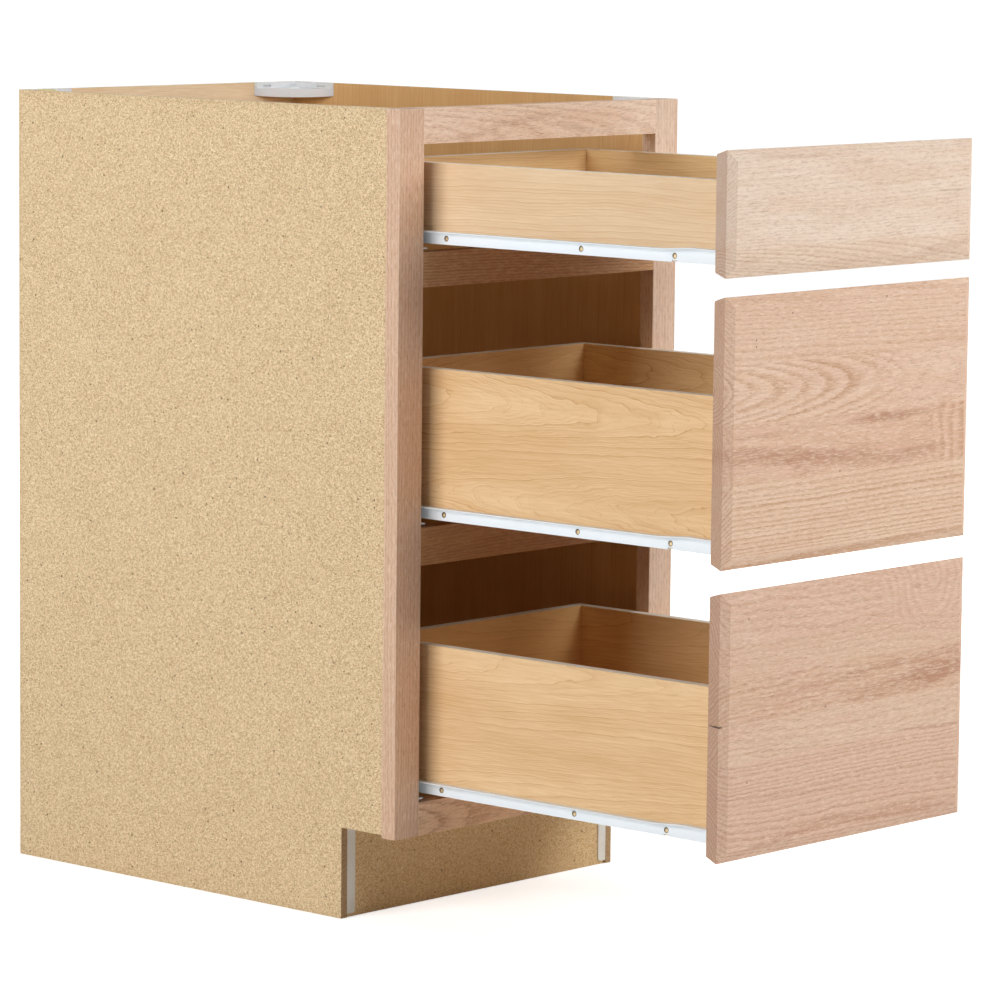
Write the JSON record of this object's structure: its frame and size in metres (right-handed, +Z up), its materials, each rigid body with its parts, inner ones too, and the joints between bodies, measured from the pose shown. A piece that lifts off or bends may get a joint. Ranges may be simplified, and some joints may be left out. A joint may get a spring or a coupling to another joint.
{
  "type": "base cabinet with drawers",
  "caption": "Unfinished kitchen base cabinet: a face frame on a box with a toe space, and slab-front drawers on roller slides, shown pulled out.",
  "frame": {"origin": "floor level, middle of the width, rear face of the back panel", "axes": "+X to the right of a person facing the cabinet, +Y towards the wall behind it, +Z up; the drawers open towards -Y"},
  "size_m": [0.4572, 1.0408, 0.889],
  "materials": {
    "oak": "unfinished, sanded",
    "particleboard": "raw",
    "drawer_board": "satin printed maple grain",
    "cleat_wood": "raw",
    "slide_epoxy_steel": "satin",
    "screw_zinc": "yellow zinc",
    "rivet_steel": "plain zinc",
    "roller_nylon": "satin",
    "bracket_plastic": "satin",
    "strip_plastic": "satin"
  },
  "bodies": {
    "cabinet": {"side_panel_right": "particleboard", "side_panel_left": "particleboard", "back_panel": "particleboard", "bottom_panel": "particleboard", "rear_support_board": "particleboard", "toe_kick_board": "particleboard", "toe_kick_strips": "strip_plastic", "frame_stile_right": "oak", "frame_stile_left": "oak", "frame_rail_top": "oak", "frame_rail_upper_middle": "oak", "frame_rail_lower_middle": "oak", "frame_rail_bottom": "oak", "corner_bracket_front_left": "bracket_plastic", "corner_bracket_front_right": "bracket_plastic", "corner_bracket_rear_right": "bracket_plastic", "corner_bracket_rear_left": "bracket_plastic", "bracket_staples": "rivet_steel", "slide_rail_top_right": "slide_epoxy_steel", "slide_rail_top_left": "slide_epoxy_steel", "slide_rail_middle_right": "slide_epoxy_steel", "slide_rail_middle_left": "slide_epoxy_steel", "slide_rail_bottom_right": "slide_epoxy_steel", "slide_rail_bottom_left": "slide_epoxy_steel", "slide_cleats": "cleat_wood", "slide_rail_screws": "screw_zinc", "rail_roller_rivets": "rivet_steel"},
    "drawer_top": {"drawer_top_front": "oak", "drawer_top_side_right": "drawer_board", "drawer_top_side_left": "drawer_board", "drawer_top_back": "drawer_board", "drawer_top_floor": "drawer_board", "drawer_top_runner_right": "slide_epoxy_steel", "drawer_top_runner_left": "slide_epoxy_steel", "drawer_top_runner_screws": "screw_zinc", "drawer_top_roller_rivets": "rivet_steel"},
    "drawer_top_rollers": {"drawer_top_rollers": "roller_nylon"},
    "rail_rollers_top": {"rail_rollers_top": "roller_nylon"},
    "drawer_middle": {"drawer_middle_front": "oak", "drawer_middle_side_right": "drawer_board", "drawer_middle_side_left": "drawer_board", "drawer_middle_back": "drawer_board", "drawer_middle_floor": "drawer_board", "drawer_middle_runner_right": "slide_epoxy_steel", "drawer_middle_runner_left": "slide_epoxy_steel", "drawer_middle_runner_screws": "screw_zinc", "drawer_middle_roller_rivets": "rivet_steel"},
    "drawer_middle_rollers": {"drawer_middle_rollers": "roller_nylon"},
    "rail_rollers_middle": {"rail_rollers_middle": "roller_nylon"},
    "drawer_bottom": {"drawer_bottom_front": "oak", "drawer_bottom_side_right": "drawer_board", "drawer_bottom_side_left": "drawer_board", "drawer_bottom_back": "drawer_board", "drawer_bottom_floor": "drawer_board", "drawer_bottom_runner_right": "slide_epoxy_steel", "drawer_bottom_runner_left": "slide_epoxy_steel", "drawer_bottom_runner_screws": "screw_zinc", "drawer_bottom_roller_rivets": "rivet_steel"},
    "drawer_bottom_rollers": {"drawer_bottom_rollers": "roller_nylon"},
    "rail_rollers_bottom": {"rail_rollers_bottom": "roller_nylon"}
  },
  "joints": [
    {"name": "top_drawer_slide", "type": "slide", "parent": "cabinet", "child": "drawer_top", "axis": [0, -1, 0], "range_m": [-0.4144, 0]},
    {"name": "top_rail_roller_turn", "type": "hinge", "parent": "cabinet", "child": "rail_rollers_top", "pos_m": [0, -0.57325, 0.7481], "axis": [1, 0, 0], "continuous": true},
    {"name": "top_drawer_roller_turn", "type": "hinge", "parent": "drawer_top", "child": "drawer_top_rollers", "pos_m": [0, -0.52225, 0.7501], "axis": [1, 0, 0], "continuous": true},
    {"name": "middle_drawer_slide", "type": "slide", "parent": "cabinet", "child": "drawer_middle", "axis": [0, -1, 0], "range_m": [-0.4144, 0]},
    {"name": "middle_rail_roller_turn", "type": "hinge", "parent": "cabinet", "child": "rail_rollers_middle", "pos_m": [0, -0.57325, 0.45], "axis": [1, 0, 0], "continuous": true},
    {"name": "middle_drawer_roller_turn", "type": "hinge", "parent": "drawer_middle", "child": "drawer_middle_rollers", "pos_m": [0, -0.52225, 0.452], "axis": [1, 0, 0], "continuous": true},
    {"name": "bottom_drawer_slide", "type": "slide", "parent": "cabinet", "child": "drawer_bottom", "axis": [0, -1, 0], "range_m": [-0.4144, 0]},
    {"name": "bottom_rail_roller_turn", "type": "hinge", "parent": "cabinet", "child": "rail_rollers_bottom", "pos_m": [0, -0.57325, 0.1487], "axis": [1, 0, 0], "continuous": true},
    {"name": "bottom_drawer_roller_turn", "type": "hinge", "parent": "drawer_bottom", "child": "drawer_bottom_rollers", "pos_m": [0, -0.52225, 0.1507], "axis": [1, 0, 0], "continuous": true}
  ],
  "couplings": [
    {"joint": "top_rail_roller_turn", "follows": "top_drawer_slide", "rad_per_m": 121.95},
    {"joint": "top_drawer_roller_turn", "follows": "top_drawer_slide", "rad_per_m": 95.238},
    {"joint": "middle_rail_roller_turn", "follows": "middle_drawer_slide", "rad_per_m": 121.95},
    {"joint": "middle_drawer_roller_turn", "follows": "middle_drawer_slide", "rad_per_m": 95.238},
    {"joint": "bottom_rail_roller_turn", "follows": "bottom_drawer_slide", "rad_per_m": 121.95},
    {"joint": "bottom_drawer_roller_turn", "follows": "bottom_drawer_slide", "rad_per_m": 95.238}
  ]
}
